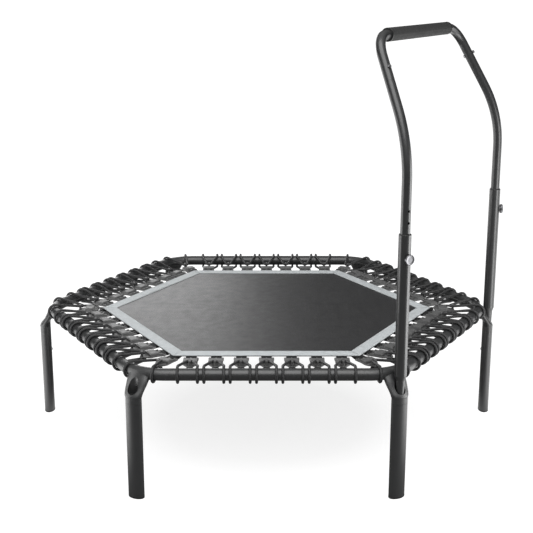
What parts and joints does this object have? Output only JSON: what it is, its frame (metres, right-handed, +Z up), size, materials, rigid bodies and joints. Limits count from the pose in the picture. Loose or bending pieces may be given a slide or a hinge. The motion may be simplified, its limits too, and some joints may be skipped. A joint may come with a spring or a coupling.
{
  "type": "mini trampoline",
  "caption": "Low hexagonal fitness trampoline: woven mat hung by elastic loops inside a tube frame on straight legs, with a height-adjustable handlebar over one side.",
  "frame": {"origin": "on the floor under the middle of the mat", "axes": "+Z up; +X towards the corner that carries one handlebar upright; -Y towards the flat front side"},
  "size_m": [1.6581, 1.449, 1.4119],
  "materials": {
    "frame_paint": "fine textured powder coat",
    "handle_paint": "fine textured powder coat",
    "foot_rubber": "matt",
    "bolt_steel": "zinc plated",
    "mat_weave": "fine woven polypropylene",
    "border_webbing": "woven webbing with stitch lines",
    "label_cloth": "plain woven patch",
    "strap_webbing": "woven webbing",
    "loop_cord": "braided elastic cord",
    "hook_plastic": "moulded",
    "guide_plastic": "moulded",
    "knob_metal": "turned and brushed",
    "foam_rubber": "closed-cell foam"
  },
  "bodies": {
    "frame": {"corner_bracket_right": "frame_paint", "leg_right": "frame_paint", "foot_cap_right": "foot_rubber", "corner_bracket_back_right": "frame_paint", "leg_back_right": "frame_paint", "foot_cap_back_right": "foot_rubber", "corner_bracket_back_left": "frame_paint", "leg_back_left": "frame_paint", "foot_cap_back_left": "foot_rubber", "corner_bracket_left": "frame_paint", "leg_left": "frame_paint", "foot_cap_left": "foot_rubber", "corner_bracket_front_left": "frame_paint", "leg_front_left": "frame_paint", "foot_cap_front_left": "foot_rubber", "corner_bracket_front_right": "frame_paint", "leg_front_right": "frame_paint", "foot_cap_front_right": "foot_rubber", "side_tube_back_right": "frame_paint", "side_tube_back": "frame_paint", "side_tube_back_left": "frame_paint", "side_tube_front_left": "frame_paint", "side_tube_front": "frame_paint", "side_tube_front_right": "frame_paint", "leg_screws": "bolt_steel", "bungees_back_right": "loop_cord", "bungees_back": "loop_cord", "bungees_back_left": "loop_cord", "bungees_front_left": "loop_cord", "bungees_front": "loop_cord", "bungees_front_right": "loop_cord", "handle_sleeve_right": "handle_paint", "sleeve_bushing_right": "guide_plastic", "plunger_housing_right": "bolt_steel", "handle_sleeve_front": "handle_paint", "sleeve_bushing_front": "guide_plastic", "plunger_housing_front": "bolt_steel", "socket_bolts": "bolt_steel"},
    "mat": {"mat_fabric": "mat_weave", "mat_border": "border_webbing", "mat_label": "label_cloth", "webbing_tabs": "strap_webbing", "hooks_back_right": "hook_plastic", "hooks_back": "hook_plastic", "hooks_back_left": "hook_plastic", "hooks_front_left": "hook_plastic", "hooks_front": "hook_plastic", "hooks_front_right": "hook_plastic"},
    "handle": {"handle_upright_right": "handle_paint", "handle_upright_front": "handle_paint", "handle_top_bar": "handle_paint", "foam_grip": "foam_rubber", "joint_bolts": "bolt_steel", "joint_nuts": "bolt_steel"},
    "knob_front": {"knob_front": "knob_metal", "plunger_front": "bolt_steel", "plunger_spring_front": "bolt_steel"},
    "knob_right": {"knob_right": "knob_metal", "plunger_right": "bolt_steel", "plunger_spring_right": "bolt_steel"}
  },
  "joints": [
    {"name": "mat_bounce", "type": "slide", "parent": "frame", "child": "mat", "axis": [0, 0, 1], "range_m": [-0.12, 0], "stiffness_N_per_m": 6000, "springref_m": 0.02, "deforming": ["bungees_back_right", "bungees_back", "bungees_back_left", "bungees_front_left", "bungees_front", "bungees_front_right"]},
    {"name": "handle_height", "type": "slide", "parent": "frame", "child": "handle", "axis": [0, 0, 1], "range_m": [-0.142, 0]},
    {"name": "knob_pull_front", "type": "slide", "parent": "frame", "child": "knob_front", "axis": [0.5, -0.866, 0], "range_m": [0, 0.004], "stiffness_N_per_m": 600, "springref_m": -0.01, "deforming": ["plunger_spring_front"]},
    {"name": "knob_pull_right", "type": "slide", "parent": "frame", "child": "knob_right", "axis": [1, 0, 0], "range_m": [0, 0.004], "stiffness_N_per_m": 600, "springref_m": -0.01, "deforming": ["plunger_spring_right"]}
  ]
}
